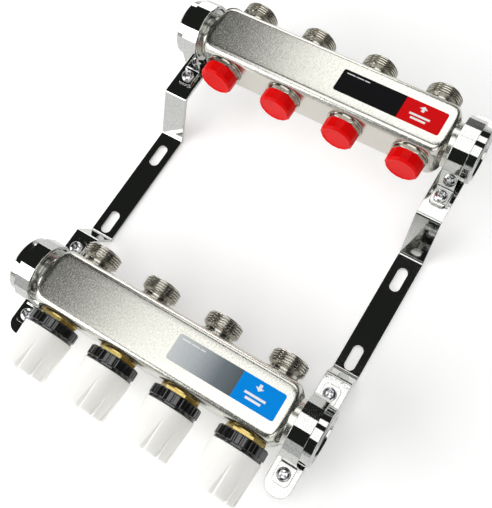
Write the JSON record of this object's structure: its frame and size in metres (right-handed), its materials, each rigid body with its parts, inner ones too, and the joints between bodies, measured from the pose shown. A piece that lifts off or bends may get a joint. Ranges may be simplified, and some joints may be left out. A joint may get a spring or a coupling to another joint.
{
  "type": "underfloor heating manifold",
  "caption": "Underfloor heating manifold: stainless supply and return bars on two bent wall brackets, with outlets, hand-wheel valves, capped regulating valves and end sockets.",
  "frame": {"origin": "middle of the four wall slots, on the wall plane that the brackets' rear faces touch", "axes": "+X along both bars towards the end that has the labels, +Y towards the supply bar and the side where the heating circuits connect, +Z away from the wall. The part lies on its brackets; on a wall the valve side (-Y) points up and the circuits (+Y) point down"},
  "size_m": [0.237, 0.3225, 0.0815],
  "materials": {
    "stainless": "satin pressed stainless steel",
    "chrome_strap": "bright chromed steel strap",
    "nickel": "nickel-plated brass",
    "brass": "plain machined brass",
    "zinc_screw": "zinc-plated steel",
    "red_plastic": "glossy red plastic",
    "black_plastic": "satin black plastic",
    "white_plastic": "warm white plastic",
    "stem_steel": "turned stainless steel",
    "spring_steel": "spring wire",
    "seal_rubber": "black EPDM rubber",
    "label_red": "printed film, black and red",
    "label_blue": "printed film, grey and blue"
  },
  "bodies": {
    "manifold": {"bracket_left": "chrome_strap", "bracket_right": "chrome_strap", "clamp_nuts": "zinc_screw", "clamp_screws": "zinc_screw", "handle_ring_1": "black_plastic", "handle_ring_2": "black_plastic", "handle_ring_3": "black_plastic", "handle_ring_4": "black_plastic", "return_bar": "stainless", "return_clamp_left": "chrome_strap", "return_clamp_right": "chrome_strap", "return_end_socket_left": "chrome_strap", "return_end_socket_right": "chrome_strap", "return_label": "label_blue", "return_outlet_1": "nickel", "return_outlet_2": "nickel", "return_outlet_3": "nickel", "return_outlet_4": "nickel", "return_valve_body_1": "brass", "return_valve_body_2": "brass", "return_valve_body_3": "brass", "return_valve_body_4": "brass", "spindle_seals": "seal_rubber", "stem_seals": "seal_rubber", "supply_bar": "stainless", "supply_clamp_left": "chrome_strap", "supply_clamp_right": "chrome_strap", "supply_end_socket_left": "chrome_strap", "supply_end_socket_right": "chrome_strap", "supply_label": "label_red", "supply_outlet_1": "nickel", "supply_outlet_2": "nickel", "supply_outlet_3": "nickel", "supply_outlet_4": "nickel", "supply_valve_body_1": "nickel", "supply_valve_body_2": "nickel", "supply_valve_body_3": "nickel", "supply_valve_body_4": "nickel", "valve_body_seals": "seal_rubber", "valve_spring_1": "spring_steel", "valve_spring_2": "spring_steel", "valve_spring_3": "spring_steel", "valve_spring_4": "spring_steel"},
    "handle_1": {"handle_1": "white_plastic"},
    "valve_stem_1": {"valve_stem_1": "stem_steel"},
    "red_cap_1": {"red_cap_1": "red_plastic"},
    "regulating_spindle_1": {"regulating_spindle_1": "stem_steel"},
    "handle_2": {"handle_2": "white_plastic"},
    "valve_stem_2": {"valve_stem_2": "stem_steel"},
    "red_cap_2": {"red_cap_2": "red_plastic"},
    "regulating_spindle_2": {"regulating_spindle_2": "stem_steel"},
    "handle_3": {"handle_3": "white_plastic"},
    "valve_stem_3": {"valve_stem_3": "stem_steel"},
    "red_cap_3": {"red_cap_3": "red_plastic"},
    "regulating_spindle_3": {"regulating_spindle_3": "stem_steel"},
    "handle_4": {"handle_4": "white_plastic"},
    "valve_stem_4": {"valve_stem_4": "stem_steel"},
    "red_cap_4": {"red_cap_4": "red_plastic"},
    "regulating_spindle_4": {"regulating_spindle_4": "stem_steel"}
  },
  "joints": [
    {"name": "handle_1_turn", "type": "hinge", "parent": "manifold", "child": "handle_1", "pos_m": [-0.075, -0.147, 0.041], "axis": [0, 1, 0], "range_deg": [0, 540]},
    {"name": "valve_stem_1_stroke", "type": "slide", "parent": "manifold", "child": "valve_stem_1", "axis": [0, 1, 0], "range_m": [0, 0.003], "deforming": ["valve_spring_1"]},
    {"name": "red_cap_1_off", "type": "slide", "parent": "manifold", "child": "red_cap_1", "axis": [0, -1, 0], "range_m": [0, 0.025]},
    {"name": "regulating_spindle_1_turn", "type": "hinge", "parent": "manifold", "child": "regulating_spindle_1", "pos_m": [-0.075, 0.097, 0.059], "axis": [0, 1, 0], "range_deg": [0, 1080]},
    {"name": "handle_2_turn", "type": "hinge", "parent": "manifold", "child": "handle_2", "pos_m": [-0.025, -0.147, 0.041], "axis": [0, 1, 0], "range_deg": [0, 540]},
    {"name": "valve_stem_2_stroke", "type": "slide", "parent": "manifold", "child": "valve_stem_2", "axis": [0, 1, 0], "range_m": [0, 0.003], "deforming": ["valve_spring_2"]},
    {"name": "red_cap_2_off", "type": "slide", "parent": "manifold", "child": "red_cap_2", "axis": [0, -1, 0], "range_m": [0, 0.025]},
    {"name": "regulating_spindle_2_turn", "type": "hinge", "parent": "manifold", "child": "regulating_spindle_2", "pos_m": [-0.025, 0.097, 0.059], "axis": [0, 1, 0], "range_deg": [0, 1080]},
    {"name": "handle_3_turn", "type": "hinge", "parent": "manifold", "child": "handle_3", "pos_m": [0.025, -0.147, 0.041], "axis": [0, 1, 0], "range_deg": [0, 540]},
    {"name": "valve_stem_3_stroke", "type": "slide", "parent": "manifold", "child": "valve_stem_3", "axis": [0, 1, 0], "range_m": [0, 0.003], "deforming": ["valve_spring_3"]},
    {"name": "red_cap_3_off", "type": "slide", "parent": "manifold", "child": "red_cap_3", "axis": [0, -1, 0], "range_m": [0, 0.025]},
    {"name": "regulating_spindle_3_turn", "type": "hinge", "parent": "manifold", "child": "regulating_spindle_3", "pos_m": [0.025, 0.097, 0.059], "axis": [0, 1, 0], "range_deg": [0, 1080]},
    {"name": "handle_4_turn", "type": "hinge", "parent": "manifold", "child": "handle_4", "pos_m": [0.075, -0.147, 0.041], "axis": [0, 1, 0], "range_deg": [0, 540]},
    {"name": "valve_stem_4_stroke", "type": "slide", "parent": "manifold", "child": "valve_stem_4", "axis": [0, 1, 0], "range_m": [0, 0.003], "deforming": ["valve_spring_4"]},
    {"name": "red_cap_4_off", "type": "slide", "parent": "manifold", "child": "red_cap_4", "axis": [0, -1, 0], "range_m": [0, 0.025]},
    {"name": "regulating_spindle_4_turn", "type": "hinge", "parent": "manifold", "child": "regulating_spindle_4", "pos_m": [0.075, 0.097, 0.059], "axis": [0, 1, 0], "range_deg": [0, 1080]}
  ],
  "couplings": [
    {"joint": "valve_stem_1_stroke", "follows": "handle_1_turn", "m_per_rad": 0.0003183},
    {"joint": "valve_stem_2_stroke", "follows": "handle_2_turn", "m_per_rad": 0.0003183},
    {"joint": "valve_stem_3_stroke", "follows": "handle_3_turn", "m_per_rad": 0.0003183},
    {"joint": "valve_stem_4_stroke", "follows": "handle_4_turn", "m_per_rad": 0.0003183}
  ]
}
